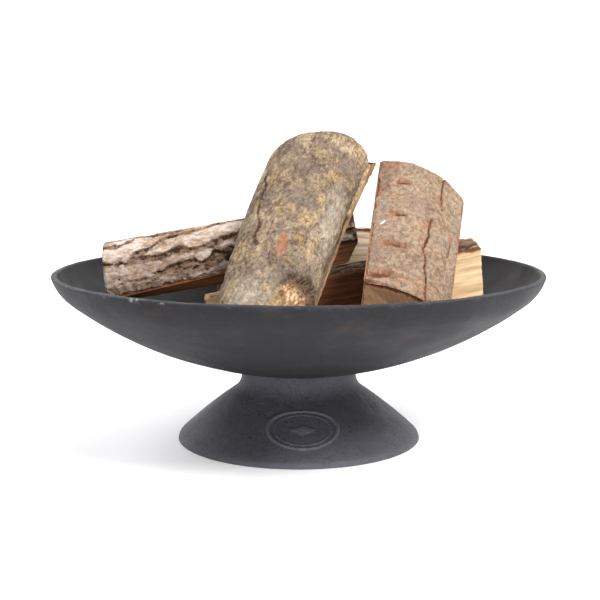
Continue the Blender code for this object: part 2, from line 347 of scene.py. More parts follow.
def bark_material(name, look):
    """Bark. look gives the colours, and how much of each kind of mottling there is."""
    s = Surface(name, grain=True)
    along = look["stretch"]
    mottle = s.noise(0.016, (1, along, 1), 6.0, 0.7, 0.8, shift=9.0)
    fibre = s.noise(0.0045, (1, along * 0.8, 1), 4.0, 0.75, 0.4)
    fine = s.noise(0.0016, (1, 0.7, 1), 3.0, 0.8)
    colour = s.mix(s.remap(mottle, 0.36, 0.64), look["dark"], look["base"])
    for tint, size, detail, roughness, warp, shift, low, high in BARK_PATCHES:
        patch = s.noise(size, (1, along, 1), detail, roughness, warp, shift)
        colour = s.over(colour, look[tint], patch, low, high, look[tint + "_share"])
    low = tuple(1.0 - look["contrast"] * k for k in (0.95, 1.0, 1.05))
    high = tuple(1.0 + look["contrast"] * k for k in (0.55, 0.5, 0.42))
    strand = s.mix(s.remap(fibre, 0.3, 0.72), low, high)
    colour = s.mix(1.0, colour, strand, "MULTIPLY")
    speck = s.mix(s.remap(fine, 0.3, 0.72), (0.72, 0.70, 0.68), (1.2, 1.18, 1.14))
    colour = s.mix(look["contrast"], colour, s.mix(1.0, colour, speck, "MULTIPLY"))
    # darker patches: partly the bark's own mottling, partly painted shade on parts that lie in
    # shade
    patchy = s.maths("MULTIPLY", s.value("shade"), s.remap(fibre, 0.25, 0.6, 0.45, 1.0))
    shade = s.mix(s.remap(fine, 0.3, 0.7), look["shade_dark"], look["shade"])
    colour = s.mix(patchy, colour, shade)
    # painted shade: cracks, furrows, flake edges and hollows are painted darker
    colour = s.where(colour, "cavity", look["deep"], look["cavity"])
    strands = s.remap(fibre, 0.3, 0.7)
    for value, tint in (("red", "red"), ("inner", "inner"), ("lichen", "bloom")):
        colour = s.where(colour, value, s.mix(strands, look[tint + "_dark"], look[tint]))
    chips = s.mix(s.remap(s.cells(0.004, (1, 0.6, 1)), 0.2, 0.75), linear(232, 204, 168),
                  linear(166, 124, 88))
    colour = s.where(colour, "chips", chips)
    rough = s.remap(mottle, 0.2, 0.8, 0.95, 0.8)
    normal = s.bump(mottle, 0.45, 0.0022)
    normal = s.bump(fibre, 0.6, 0.0012, normal)
    normal = s.bump(fine, 0.5, 0.0005, normal)
    return s.finish(colour, rough, normal, specular=0.2)


PAINTED_SHADOW = (0.125, 0.041, 0.016)      # painted shadow on the front log's split face, where the logs above shade it, as linear light


def split_material(name, base, pale, dark, grain, rind_share=1.0):
    """A split face: long fibres, streaks, painted shadow where the points ask for it, and a rind of
    inner bark.
    """
    s = Surface(name, grain=True)
    base, pale, dark = (linear(*colour) for colour in (base, pale, dark))
    streak = s.noise(0.012, (1, 0.09, 1), 5.0, 0.6, 0.3)
    fibre = s.noise(0.0028, (1, 0.05, 1), 4.0, 0.7)
    cloud = s.noise(0.05, (1, 0.5, 1), 3.0, shift=4.0)
    fleck = s.noise(0.004, (1, 0.18, 1), 3.0, 0.6, shift=14.0)
    colour = s.mix(s.remap(streak, 0.35, 0.65), base, pale)
    colour = s.over(colour, dark, cloud, 0.5, 0.7, 0.45)
    tone = s.mix(s.remap(fibre, 0.32, 0.68), (1 - grain, 1 - 1.15 * grain, 1 - 1.35 * grain),
                 (1.1, 1.1, 1.1))
    colour = s.mix(1.0, colour, tone, "MULTIPLY")
    colour = s.over(colour, dark, fleck, 0.64, 0.74, 0.6)
    # painted shade in the cracks and fibre grooves
    colour = s.where(colour, "cavity", dark, 0.6)
    # painted shadow, dark red-brown, where the points ask for it
    shadow_tone = s.mix(s.remap(fibre, 0.3, 0.7), tinted(PAINTED_SHADOW, 0.6), tinted(PAINTED_SHADOW, 1.5))
    colour = s.where(colour, "shade", shadow_tone)
    rind = s.mix(s.remap(fibre, 0.3, 0.7), linear(96, 58, 36), linear(160, 104, 66))
    colour = s.where(colour, "inner", rind, rind_share)
    rough = s.remap(streak, 0.2, 0.8, 0.85, 0.7)
    normal = s.bump(streak, 0.5, 0.0016)
    normal = s.bump(fibre, 0.6, 0.0007, normal)
    return s.finish(colour, rough, normal, specular=0.25)


def sawn_material(name, base, pale, dark):
    """A sawn end: growth rings around the pith, drying cracks and a rind of inner bark."""
    s = Surface(name, grain=True)
    base, pale, dark = (linear(*colour) for colour in (base, pale, dark))
    ring_warp = s.noise(0.03, detail=2.0)
    radius = s.maths("ADD", s.value("pith"), s.maths("MULTIPLY", ring_warp, 0.004))
    wave = s.maths("SINE", s.maths("MULTIPLY", radius, math.tau / 0.0027))
    mottle = s.noise(0.01, detail=5.0, roughness=0.7)
    pore = s.noise(0.0012, detail=3.0, roughness=0.8)
    colour = s.mix(s.remap(mottle, 0.35, 0.65), base, pale)
    colour = s.over(colour, dark, wave, -0.2, 1.0, 0.28)
    colour = s.over(colour, dark, pore, 0.55, 0.75, 0.4)
    # painted shade in the drying cracks
    colour = s.where(colour, "cavity", linear(52, 34, 22), 0.85)
    rind = s.mix(s.remap(s.noise(0.0025, detail=4.0, roughness=0.8), 0.38, 0.62),
                 linear(118, 66, 40), linear(196, 124, 78))
    colour = s.where(colour, "inner", rind)
    rough = s.remap(mottle, 0.2, 0.8, 0.9, 0.78)
    normal = s.bump(mottle, 0.4, 0.001)
    normal = s.bump(pore, 0.5, 0.0004, normal)
    return s.finish(colour, rough, normal, specular=0.2)


# ---- turned castings ----------------------------------------------------------
def arc(centre, radius, start, end, steps):
    """Points on an arc, with angles counted from straight down, towards +radius."""
    angles = np.linspace(start, end, steps + 1)
    return [(centre[0] + radius * math.sin(a), centre[1] - radius * math.cos(a)) for a in angles]


def spaced(points, step):
    """The same outline with points no more than step apart."""
    result = [points[0]]
    for before, after in zip(points, points[1:]):
        count = max(1, math.ceil(math.dist(before, after) / step))
        for i in range(1, count + 1):
            share = i / count
            result.append((before[0] + (after[0] - before[0]) * share,
                           before[1] + (after[1] - before[1]) * share))
    return result


def turned(name, outline, angles, material, relief, values):
    """A closed outline of (radius, height) points turned around Z. relief(points) gives how far
    each point is raised, and each of values what is stored on the points."""
    outline = np.array(outline)
    cos, sin = np.cos(angles), np.sin(angles)
    grid = np.stack([outline[:, 0, None] * cos, outline[:, 0, None] * sin,
                     np.repeat(outline[:, 1, None], len(angles), axis=1)], axis=-1)
    rows, columns = grid.shape[:2]
    faces = grid_quads(rows, columns)
    here, last = np.arange(columns), (rows - 1) * columns
    following = (here + 1) % columns
    closing = np.stack([here + last, following + last, following, here], axis=-1)
    faces = np.concatenate([faces, closing])
    tangent = np.roll(outline, -1, axis=0) - np.roll(outline, 1, axis=0)
    tangent /= np.linalg.norm(tangent, axis=1, keepdims=True) + 1e-12
    turn = 1.0 if outline_area(outline) > 0 else -1.0
    flat = np.stack([tangent[:, 1], -tangent[:, 0]], axis=-1) * turn
    normal = np.stack([flat[:, 0, None] * cos, flat[:, 0, None] * sin,
                       np.repeat(flat[:, 1, None], len(angles), axis=1)], axis=-1)
    grid = grid + normal * relief(grid)[..., None]
    if turn > 0:
        faces = faces[:, ::-1]
    stored = {key: fill(grid).reshape(-1) for key, fill in values.items()}
    return make_object(name, grid.reshape(-1, 3), faces, [material], values=stored)


def outline_area(outline):
    """Twice the signed area of a closed outline."""
    following = np.roll(outline, -1, axis=0)
    return float((outline[:, 0] * following[:, 1] - following[:, 0] * outline[:, 1]).sum())


def bowl_side(offset, first_radius, steps):
    belly = BELLY_RADIUS - offset
    centre = (0.0, BELLY_LOW + BELLY_RADIUS)
    inset = BELLY_RADIUS - RIM_CURVE
    rim_centre = (inset * math.sin(BELLY_ANGLE), centre[1] - inset * math.cos(BELLY_ANGLE))
    rim_angle = math.asin((RIM_RADIUS - rim_centre[0]) / RIM_CURVE)
    points = arc(centre, belly, math.asin(first_radius / belly), BELLY_ANGLE, steps)
    points += arc(rim_centre, RIM_CURVE - offset, BELLY_ANGLE, rim_angle, steps // 3)[1:]
    return points


def rounded_lip(outer, inner, radius):
    """Points over the rim, from the outside to the inside, with both edges rounded."""
    outer, inner = Vector(outer), Vector(inner)
    across = (inner - outer).normalized()
    up = Vector((-across.y, across.x)) if across.x > 0 else Vector((across.y, -across.x))
    up = up if up.y > 0 else -up
    points = []
    for corner, side in ((outer, across), (inner, -across)):
        centre = corner + side * radius - up * radius
        turn = [centre + (-side * math.cos(a) + up * math.sin(a)) * radius
                for a in np.linspace(0, math.pi / 2, 6)]
        points += turn if side is across else turn[::-1]
    return [tuple(p) for p in points]


def from_axis(grid):
    """Each point's distance from the vertical axis."""
    return np.hypot(grid[..., 0], grid[..., 1])


def cast_skin(grid, seed):
    """The slight unevenness of a sand casting."""
    broad = fractal(grid, 0.05, seed, 2) * 0.00022
    return broad + fractal(grid, 0.006, seed + 3, 3, 0.6) * 0.00007 - 0.00025


def build_bowl(iron):
    seat_top = BELLY_LOW + BOWL_WALL + 0.001
    outside = bowl_side(0.0, BOSS_RADIUS + 0.002, 60)
    inside = bowl_side(BOWL_WALL, SEAT_RADIUS + 0.004, 60)
    lip = rounded_lip(outside[-1], inside[-1], LIP_ROUND)
    under = spaced([(BOLT_HOLE, BOSS_LOW), (BOSS_RADIUS - 0.001, BOSS_LOW),
                    (BOSS_RADIUS, BOSS_LOW + 0.001)], 0.003)
    seat = spaced([(SEAT_RADIUS, seat_top), (BOLT_HOLE, seat_top)], 0.003)
    outline = under + outside[:-1] + lip + inside[-2::-1] + seat
    first_inside = len(under) + len(outside) - 1 + len(lip)
    rim_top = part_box("bowl")[1].z

    def relief(grid):
        radius = from_axis(grid)
        near_rim = smooth(rim_top - 0.012, rim_top, grid[..., 2])
        nicks = fractal(grid, (0.011, 0.011, 0.02), 41, 3, 0.6)
        nick = smooth(0.55, 0.95, nicks) * near_rim * 0.0004
        free = smooth(BOSS_RADIUS, BOSS_RADIUS + 0.03, radius)
        return cast_skin(grid, 5) * free - nick

    def left_front(grid):
        turn = np.arctan2(grid[..., 1], grid[..., 0])
        return smooth(-2.75, -2.5, turn) * (1 - smooth(-2.15, -1.9, turn))

    # The rim's top is painted paler, most at the left front: partly wear, partly painted highlight.
    def wear_and_highlight(grid):
        top = smooth(rim_top - 0.0040, rim_top - 0.0012, grid[..., 2])
        patchy = 0.5 + 0.5 * fractal(grid, 0.05, 61, 3)
        rubbed = smooth(-0.3, 0.5, fractal(grid, 0.004, 63, 3, 0.7))
        return np.clip(top * (0.10 + 0.35 * patchy + 0.45 * left_front(grid) * rubbed), 0, 1)

    def chipped(grid):
        spots = smooth(0.50, 0.95, fractal(grid, (0.007, 0.007, 0.004), 67, 3, 0.7))
        edge = smooth(rim_top - 0.0055, rim_top - 0.002, grid[..., 2])
        outer = smooth(RIM_RADIUS - 0.0055, RIM_RADIUS - 0.003, from_axis(grid))
        return spots * edge * outer * (0.12 + 0.88 * left_front(grid))

    # Painted shade: the whole inside of the bowl is marked to be painted darker.
    def bowl_inside_shade(grid):
        inside = (np.arange(len(outline)) >= first_inside)[:, None]
        return inside * (0.75 + 0.25 * fractal(grid, 0.06, 71, 3))

    angles = np.linspace(0, math.tau, 512, endpoint=False)
    return turned("bowl_casting", outline, angles, iron, relief,
                  {"wear_and_highlight": wear_and_highlight, "chipped": chipped, "bowl_inside_shade": bowl_inside_shade})


def foot_side(offset, top, step):
    fillet = NECK_FILLET + offset
    centre = Vector((NECK_RADIUS + NECK_FILLET, NECK_BOTTOM))
    points = [(NECK_RADIUS - offset, top)]
    points += arc(centre, fillet, -math.pi / 2, -FLARE_TOP_SLOPE, 12)
    to_flare = Vector((-math.sin(FLARE_TOP_SLOPE), -math.cos(FLARE_TOP_SLOPE)))
    centre = centre + to_flare * (NECK_FILLET + FLARE_RADIUS)
    low, high = math.pi - FLARE_LOW_SLOPE, math.pi - FLARE_TOP_SLOPE
    count = round(FLARE_RADIUS * (high - low) / step)
    points += arc(centre, FLARE_RADIUS - offset, high, low, count)[1:]
    to_edge = Vector((math.sin(FLARE_LOW_SLOPE), math.cos(FLARE_LOW_SLOPE)))
    return points, centre + to_edge * (FLARE_RADIUS - FOOT_EDGE)


def badge_relief(grid):
    """A plain oval badge cast on the flare: a raised ring around a blank field with a lozenge."""
    angle = np.arctan2(grid[..., 1], grid[..., 0])
    turn = (angle - BADGE_ANGLE + math.pi) % math.tau - math.pi
    across = turn * from_axis(grid)
    up = (grid[..., 2] - BADGE_HEIGHT_ON_FOOT) / math.sin(BADGE_SLOPE)
    oval = np.hypot(across / (BADGE_WIDTH / 2), up / (BADGE_TALL / 2))
    ring = smooth(0.86, 0.90, oval) * (1 - smooth(0.97, 1.01, oval))
    field = 1 - smooth(0.86, 0.90, oval)
    inner = smooth(0.71, 0.735, oval) * (1 - smooth(0.765, 0.79, oval))
    lozenge = np.abs(across) / LOZENGE_HALF[0] + np.abs(up) / LOZENGE_HALF[1]
    stone = 1 - smooth(0.85, 1.0, lozenge)
    facet = np.clip(1 - lozenge, 0, 1)
    shape = ring + 0.18 * field + 0.45 * inner + stone * (0.35 + 0.75 * facet)
    low, high = BADGE_BAND
    front = (np.abs(turn) < 0.8) & (grid[..., 2] > low) & (grid[..., 2] < high)
    return shape * BADGE_RELIEF * front


def build_foot(iron):
    belly_centre = BELLY_LOW + BELLY_RADIUS - GAP
    collar_in = NECK_RADIUS - FOOT_WALL

    def seat_height(radius):
        return belly_centre - math.sqrt(BELLY_RADIUS ** 2 - radius ** 2)

    web_top = BOSS_LOW - GAP
    web_low = web_top - WEB_THICKNESS
    top = seat_height(NECK_RADIUS)
    outside, edge_centre = foot_side(0.0, top, 0.0011)
    inside, _ = foot_side(FOOT_WALL, web_low, 0.004)
    edge = arc(edge_centre, FOOT_EDGE, math.pi - FLARE_LOW_SLOPE, math.pi / 2, 10)[1:]
    widest = edge[-1][0]
    base = [(widest, 0.0008), (widest - 0.001, 0.0), (widest - 0.001 - BASE_FLAT, 0.0)]
    web = spaced([(BOLT_HOLE, web_top), (collar_in - 0.003, web_top)], 0.006)
    seat = [(collar_in, web_top + 0.003), (collar_in, seat_height(collar_in)),
            (NECK_RADIUS - 0.001, seat_height(NECK_RADIUS - 0.001)), (NECK_RADIUS, top - 0.001)]
    shank = spaced([(NECK_RADIUS, top - 0.001), outside[1]], 0.0015)[1:]
    hidden = [p for p in inside if p[1] <= web_low]
    under = spaced([hidden[0], (BOLT_HOLE, web_low)], 0.006)
    outline = web + seat + shank + outside[2:] + edge + base + hidden[::-1] + under[1:]

    def relief(grid):
        radius = from_axis(grid)
        free = smooth(NECK_RADIUS - 0.02, NECK_RADIUS - 0.002, radius)
        free = free * smooth(0.0, 0.004, grid[..., 2])
        outer = radius > np.interp(grid[..., 2], *outer_line)
        pits = smooth(0.62, 0.95, fractal(grid, 0.010, 91, 4, 0.75))
        return cast_skin(grid, 9) * free + outer * (badge_relief(grid) - 0.0004 * pits * free)

    line = np.array(sorted((h, r) for r, h in outside[1:] + edge))
    outer_line = (line[:, 0], line[:, 1] - FOOT_WALL / 2)

    # The foot's bottom edge and the badge's raised relief are painted paler: partly wear, partly
    # painted highlight.
    def wear_and_highlight(grid):
        radius = from_axis(grid)
        outer = radius > np.interp(grid[..., 2], *outer_line)
        low = 1 - smooth(0.002, 0.012, grid[..., 2])
        raised = smooth(0.45, 0.9, badge_relief(grid) / BADGE_RELIEF)
        return np.clip(outer * (0.16 * low + 0.22 * raised), 0, 1)

    first, last = BADGE_ANGLE - FINE_FRONT, BADGE_ANGLE + FINE_FRONT
    fine = np.linspace(first, last, 300, endpoint=False)
    coarse = np.linspace(last, first + math.tau, 300, endpoint=False)
    angles = np.concatenate([fine, coarse])
    return turned("foot_casting", outline, angles, iron, relief, {"wear_and_highlight": wear_and_highlight})


# ---- fasteners ------------------------------------------------------------------
def hex_radius(angle, across_flats):
    """The distance from the middle to a hexagon's side at an angle."""
    part = (angle + math.pi / 6) % (math.pi / 3) - math.pi / 6
    return across_flats / 2 / np.cos(part)


def level_rings(levels, columns):
    """A ring of points for each (height, radius) level. A radius is a number, or a function of
    the angle."""
    angles = np.linspace(0, math.tau, columns, endpoint=False)
    rings = []
    for height, radius in levels:
        reach = radius(angles) if callable(radius) else np.full(columns, float(radius))
        rings.append(np.stack([reach * np.cos(angles), reach * np.sin(angles),
                               np.full(columns, float(height))], axis=-1))
    return np.array(rings)


def stacked(name, levels, material):
    """A solid through the levels, closed by flat ends."""
    rings = level_rings(levels, HEX_COLUMNS)
    faces = [list(f) for f in grid_quads(len(rings), HEX_COLUMNS)]
    faces.append(list(range(HEX_COLUMNS))[::-1])
    faces.append([(len(rings) - 1) * HEX_COLUMNS + i for i in range(HEX_COLUMNS)])
    return make_object(name, rings.reshape(-1, 3), faces, [material], sharp=FASTENER_SHARP)


def bored(name, levels, bore, material, columns):
    """As stacked, with a hole of the given radius through it."""
    rings = level_rings(levels + [(height, bore) for height, _ in levels[::-1]], columns)
    faces = grid_quads(len(rings) + 1, columns) % (len(rings) * columns)
    return make_object(name, rings.reshape(-1, 3), faces, [material], sharp=FASTENER_SHARP)


def chamfered_hex(low, high, cut_low, cut_high):
    """Levels of a hexagon whose corners are turned away at the ends that are cut."""
    levels = []
    for height in np.linspace(low, high, HEX_LEVELS):
        reach = HEX_ACROSS_FLATS / math.sqrt(3) + 0.001
        for cut, inward in ((cut_low, height - low), (cut_high, high - height)):
            if cut:
                reach = min(reach, HEX_ACROSS_FLATS / 2 * CHAMFER_START + inward * CHAMFER_SLOPE)
        levels.append((height, lambda a, r=reach: np.minimum(hex_radius(a, HEX_ACROSS_FLATS), r)))
    return levels


def build_bolt(steel):
    low, high = (corner.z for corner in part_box("centre_bolt"))
    head_low = high - BOLT_HEAD
    plain_from = low + THREAD_LENGTH

    def thread(height):
        fade = min(1.0, max(0.0, (plain_from - height) / THREAD_RUNOUT))
        point = min(1.0, (height - low) / POINT_HEIGHT)

        def reach(angle):
            phase = (height / THREAD_PITCH - angle / math.tau) % 1.0
            groove = np.abs(phase - 0.5) * 2
            return (BOLT_RADIUS - POINT_CUT * (1 - point)) - THREAD_DEPTH * fade * groove
        return reach

    levels = [(h, thread(h)) for h in np.linspace(low, plain_from, THREAD_LEVELS)]
    levels += [(head_low, BOLT_RADIUS)]
    levels += chamfered_hex(head_low, high, False, True)
    return stacked("centre_bolt_steel", levels, steel)


def build_nut(steel):
    low, high = (corner.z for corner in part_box("centre_nut"))
    return bored("centre_nut_steel", chamfered_hex(low, high, True, True), BOLT_RADIUS + GAP, steel,
                 HEX_COLUMNS)


def build_washer(name, node, steel):
    low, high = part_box(node)
    edge = WASHER_EDGE
    levels = [(low.z, high.x - edge), (low.z + edge, high.x), (high.z - edge, high.x),
              (high.z, high.x - edge)]
    return bored(name, levels, BOLT_HOLE, steel, WASHER_COLUMNS)


# ---- firewood -------------------------------------------------------------------
# Each log lies where its solid in the frame lies, with the same section and axes.
LOGS = {
    "log_left": dict(
        start=(-0.238, 0.035, 0.1883), end=(0.071, 0.044, 0.254), face=(-0.18, -0.47, 0.86),
        chord=(0.087, 0.066), rise=(0.048, 0.036),
        corners=([(0.022, -0.022, 0.0)], [(0.040, -0.024, 0.018)]),
        slant=((0.0, 0.12), (-0.06, 0.0)), bow=(0.0, 0.0)),
    "log_centre": dict(
        start=(-0.048, -0.140, 0.126), end=(0.0243, 0.0627, 0.3297), face=(-0.02, -0.71, 0.71),
        chord=(0.100, 0.124), rise=(0.072, 0.057),
        corners=([(0.049, -0.004, 0.0)], [(0.0705, -0.005, 0.0)]),
        slant=((0.0, 0.0), (0.33, 0.12)), bow=(-0.0055, 0.0)),
    "log_right": dict(
        start=(0.1148, -0.1791, 0.1969), end=(0.154, 0.058, 0.311), face=(0.30, -0.47, 0.83),
        chord=(0.100, 0.116), rise=(0.015, 0.020),
        corners=([(0.041, -0.057, -0.020), (-0.037, -0.057, -0.032)],
                 [(0.052, -0.058, 0.0), (-0.047, -0.050, 0.0)]),
        slant=((-0.15, -0.60), (-0.22, -0.06)), bow=(0.0, 0.0)),
    "log_back": dict(
        start=(-0.112, 0.172, 0.1968), end=(0.128, 0.166, 0.1958), face=(0.0, 0.97, 0.24),
        chord=(0.1005, 0.0965), rise=(0.044, 0.043),
        corners=([(-0.006, -0.012, 0.0)], [(-0.004, -0.010, 0.0)]),
        slant=((0.0, 0.0), (0.0, 0.0)), bow=(0.0, 0.0)),
    "log_front": dict(
        start=(-0.1051, -0.0126, 0.1402), end=(0.229, 0.077, 0.2002), face=(-0.31, 0.75, 0.59),
        chord=(0.098, 0.072), rise=(0.033, 0.041),
        corners=([(-0.003, -0.061, 0.006)], [(-0.002, -0.050, 0.013)]),
        slant=((-0.13, 0.0), (0.0, 0.0)), bow=(0.0, 0.0)),
}
SPACING = 0.0013


def log_axes(entry):
    """Local axes of a log: X across, Y along, Z out through the middle of the bark."""
    start, end = Vector(entry["start"]), Vector(entry["end"])
    along = (end - start).normalized()
    out = Vector(entry["face"])
    out = (out - along * out.dot(along)).normalized()
    across = along.cross(out)
    turn = Matrix((across, along, out)).transposed().to_4x4()
    return Matrix.Translation(start) @ turn, (end - start).length


def end_section(chord, rise, corners, counts):
    """A dense section, as (across, out, how far short of the end), bark first, then the split."""
    radius = (chord * chord / 4 + rise * rise) / (2 * rise)
    spread = 2 * math.atan(2 * rise / chord)
    angle = spread * (2 * np.linspace(0, 1, counts[0]) - 1)
    bark = np.stack([radius * np.sin(angle), radius * np.cos(angle) + rise - radius,
                     np.zeros_like(angle)], axis=-1)
    stops = [bark[-1]] + [np.array(c) for c in corners] + [bark[0]]
    sides = [bark]
    for k, (a, b) in enumerate(zip(stops, stops[1:])):
        share = np.linspace(0, 1, counts[k + 1] + 1)[1:, None]
        if k == len(stops) - 2:
            share = share[:-1]
        sides.append(a + (b - a) * share)
    return np.concatenate(sides), radius


class LogSides:
    """The grid of a log's sides in its own axes, with what each point needs to be shaped."""

    def __init__(self, entry, wraps):
        """wraps is how many of the split sides, from the bark's far edge on, carry bark too."""
        self.axes, self.length = log_axes(entry)
        chord, rise = np.mean(entry["chord"]), np.mean(entry["rise"])
        radius = (chord * chord / 4 + rise * rise) / (2 * rise)
        self.arc = 2 * radius * 2 * math.atan(2 * rise / chord)
        stops = [(chord / 2, 0.0)] + [tuple(np.mean([a[:2], b[:2]], axis=0))
                                      for a, b in zip(*entry["corners"])] + [(-chord / 2, 0.0)]
        lengths = [math.dist(a, b) for a, b in zip(stops, stops[1:])]
        counts = [round(self.arc / SPACING) + 1] + [max(4, round(x / SPACING)) for x in lengths]
        first, r0 = end_section(entry["chord"][0], entry["rise"][0], entry["corners"][0], counts)
        last, r1 = end_section(entry["chord"][1], entry["rise"][1], entry["corners"][1], counts)
        self.rows, self.columns = round(self.length / SPACING) + 1, len(first)
        t = np.linspace(0, 1, self.rows)[:, None]
        bend = 4 * t * (1 - t)
        (s0, s1), (e0, e1) = entry["slant"]
        lean = (1 - t) * (s0 * first[:, 0] + s1 * first[:, 1] + first[:, 2])
        lean = lean + t * (e0 * last[:, 0] + e1 * last[:, 1] - last[:, 2])
        x = first[:, 0] * (1 - t) + last[:, 0] * t + entry["bow"][0] * bend
        z = first[:, 1] * (1 - t) + last[:, 1] * t + entry["bow"][1] * bend
        y = t * self.length + lean
        self.grid = np.stack([x, y, z], axis=-1)
        self.bark_columns = counts[0] + sum(counts[1:1 + wraps])
        column = np.arange(self.columns)
        self.is_bark = np.broadcast_to(column < self.bark_columns, (self.rows, self.columns))
        gaps = np.linalg.norm(np.diff(self.grid[..., [0, 2]], axis=1), axis=2)
        self.around = np.concatenate([np.zeros((self.rows, 1)), np.cumsum(gaps, axis=1)], axis=1)
        bark_end = self.around[:, [counts[0] - 1]]
        whole = self.around[:, [-1]] + SPACING
        edge = np.where(self.is_bark, np.minimum(self.around, bark_end - self.around),
                        np.minimum(self.around - bark_end, whole - self.around))
        self.from_edge = np.maximum(edge, 0)
        self.from_far_edge = bark_end - self.around
        self.t = np.broadcast_to(t, (self.rows, self.columns))
        self.along = self.grid[..., 1]
        self.from_end = np.minimum(self.t, 1 - self.t) * self.length
        self.pith = (np.array([0.0, entry["rise"][0] - r0]), np.array([0.0, entry["rise"][1] - r1]))
        self.radii = (r0, r1)
        self.normal = row_normals(self.grid)
        outward = self.grid - self.grid.mean(axis=1, keepdims=True)
        self.flip = bool((self.normal * outward).sum() < 0)
        if self.flip:
            self.normal = -self.normal

    def field(self, across, along, seed, octaves=4, gain=0.5):
        """Noise over the sides, with features of one size across the log and one along it."""
        return fractal(self.grid, (across, along, across), seed, octaves, gain)


def ragged_edge(log, reach, seed):
    """Where the bark has broken away along its edges and ends: from 0 to 1."""
    wander = 0.5 + 0.5 * log.field(0.03, 0.012, seed, 4, 0.65)
    width = reach * np.clip(wander, 0, 1.3)
    near = np.minimum(log.from_edge, log.from_end * 1.6)
    return 1 - smooth(width - 0.0009, width + 0.0009, near)


def furrows(log, spacing, seed):
    """Long ridges and grooves along a trunk: how deep each point lies, from 0 to 1."""
    slow = log.field(0.05, 0.11, seed, 2)
    quick = log.field(0.012, 0.022, seed + 1, 3, 0.6)
    phase = log.around / spacing + 0.55 * slow + 0.30 * quick
    ridge = np.abs(np.sin(math.pi * phase))
    groove = 1 - smooth(0.10, 0.85, ridge)
    cross = smooth(0.45, 0.9, log.field(0.02, 0.012, seed + 2, 3))
    return np.clip(groove + 0.35 * cross * (1 - groove), 0, 1)


def fissures(log, size, seed, width):
    """Thin cracks that follow the grain, from 0 to 1."""
    field = log.field(*size, seed, 3, 0.55)
    crack = 1 - smooth(0.0, width, np.abs(field))
    patchy = smooth(-0.1, 0.5, log.field(0.03, 0.05, seed + 9, 2))
    return crack * patchy


def plates(log, size, seed, edges):
    """Flakes of bark at stepped heights, from 0 at the lowest to 1."""
    field = log.field(*size, seed)
    steps = [smooth(e, e + 0.06, field) for e in edges]
    return sum(steps) / len(steps)


def outlines(log, size, seed, edges, width):
    """Broken lines along the borders of the flakes, painted dark as the shade of their edges, from
    0 to 1.
    """
    field = log.field(*size, seed)
    line = np.maximum.reduce([1 - smooth(0.0, width, np.abs(field - edge)) for edge in edges])
    return line * smooth(-0.2, 0.5, log.field(0.012, 0.02, seed + 5, 3, 0.6))


def spot(log, around, along, wide, tall, soft, ragged=0.0):
    """A soft-edged patch on the bark, from 0 to 1. ragged moves its edge, in metres."""
    reach = np.hypot((log.around - around) / wide, (log.along - along) / tall)
    return 1 - smooth(1 - soft, 1 + soft, reach + ragged / min(wide, tall))


def spots(log, patches, soft, ragged):
    """The strongest of several patches, each (around, along, wide, tall, strength)."""
    return np.maximum.reduce([spot(log, *patch, soft, ragged) * strength
                              for *patch, strength in patches])


def line_crack(log, points, width, seed):
    """A crack or furrow along the log through (around, along) points, from 0 to 1."""
    alongs = [p[1] for p in points]
    arounds = [p[0] for p in points]
    centre = np.interp(log.along, alongs, arounds)
    wobble = min(0.0022, 0.7 * width)
    centre = centre + wobble * fractal(log.grid * [0, 1, 0], (1, 0.016, 1), seed, 3, 0.6)
    inside = smooth(alongs[0], alongs[0] + 0.012, log.along)
    inside = inside * (1 - smooth(alongs[-1] - 0.012, alongs[-1], log.along))
    thick = width * inside * (0.75 + 0.5 * log.field(0.01, 0.010, seed + 4, 3))
    return 1 - smooth(0.25, 1.0, np.abs(log.around - centre) / np.maximum(thick, 1e-5))


def line_cracks(log, lines, seed, widen=1.0):
    """The deepest of several cracks, each (points, width)."""
    return np.maximum.reduce([line_crack(log, points, widen * width, seed + k)
                              for k, (points, width) in enumerate(lines)])


def carved(cuts, **features):
    """How deep the bark is cut: the features, each times its depth in cuts, in metres."""
    return sum(cuts[key] * feature for key, feature in features.items()) + cuts.get("level", 0.0)


# Places on the bark are (around from its near edge, along from the log's start), in metres.
# Furrows are (points, width) and patches (place, size around and along, strength).
LEFT_FURROWS = (
    (((0.073, -0.01), (0.0732, 0.029), (0.060, 0.052), (0.0587, 0.090), (0.050, 0.12)), 0.0040),
    (((0.092, 0.036), (0.085, 0.061), (0.070, 0.085), (0.064, 0.118), (0.055, 0.152),
      (0.05, 0.19)), 0.0034),
    (((0.095, -0.01), (0.100, 0.027), (0.099, 0.064), (0.0927, 0.085), (0.0936, 0.102),
      (0.096, 0.120), (0.086, 0.147), (0.080, 0.166), (0.075, 0.21)), 0.0048),
    (((0.120, 0.060), (0.111, 0.0885), (0.110, 0.102), (0.1116, 0.123), (0.104, 0.137),
      (0.103, 0.156), (0.100, 0.20)), 0.0046),
    (((0.118, 0.108), (0.112, 0.128), (0.1085, 0.150), (0.108, 0.20)), 0.0060))
LEFT_CUTS = dict(furrow=0.0036, scale=0.0005, grit=0.0009, lump=0.0006, low_band=0.0014,
                 torn=0.0026, level=-0.0011)
CENTRE_DIM = (
    (0.100, 0.237, 0.020, 0.016, 0.55), (0.139, 0.258, 0.014, 0.012, 0.7),
    (0.112, 0.187, 0.026, 0.008, 0.6), (0.138, 0.100, 0.026, 0.014, 0.55),
    (0.118, 0.072, 0.012, 0.020, 0.6), (0.075, 0.262, 0.020, 0.014, 0.35),
    (0.078, 0.182, 0.016, 0.006, 0.6), (0.084, 0.085, 0.012, 0.018, 0.35),
    (0.125, 0.275, 0.060, 0.010, 0.45), (0.150, 0.225, 0.016, 0.014, 0.55),
    (0.108, 0.210, 0.010, 0.010, 0.4), (0.096, 0.130, 0.010, 0.020, 0.35))
CENTRE_PALE = ((0.157, 0.190, 0.018, 0.050, 0.45), (0.082, 0.040, 0.024, 0.024, 0.35))
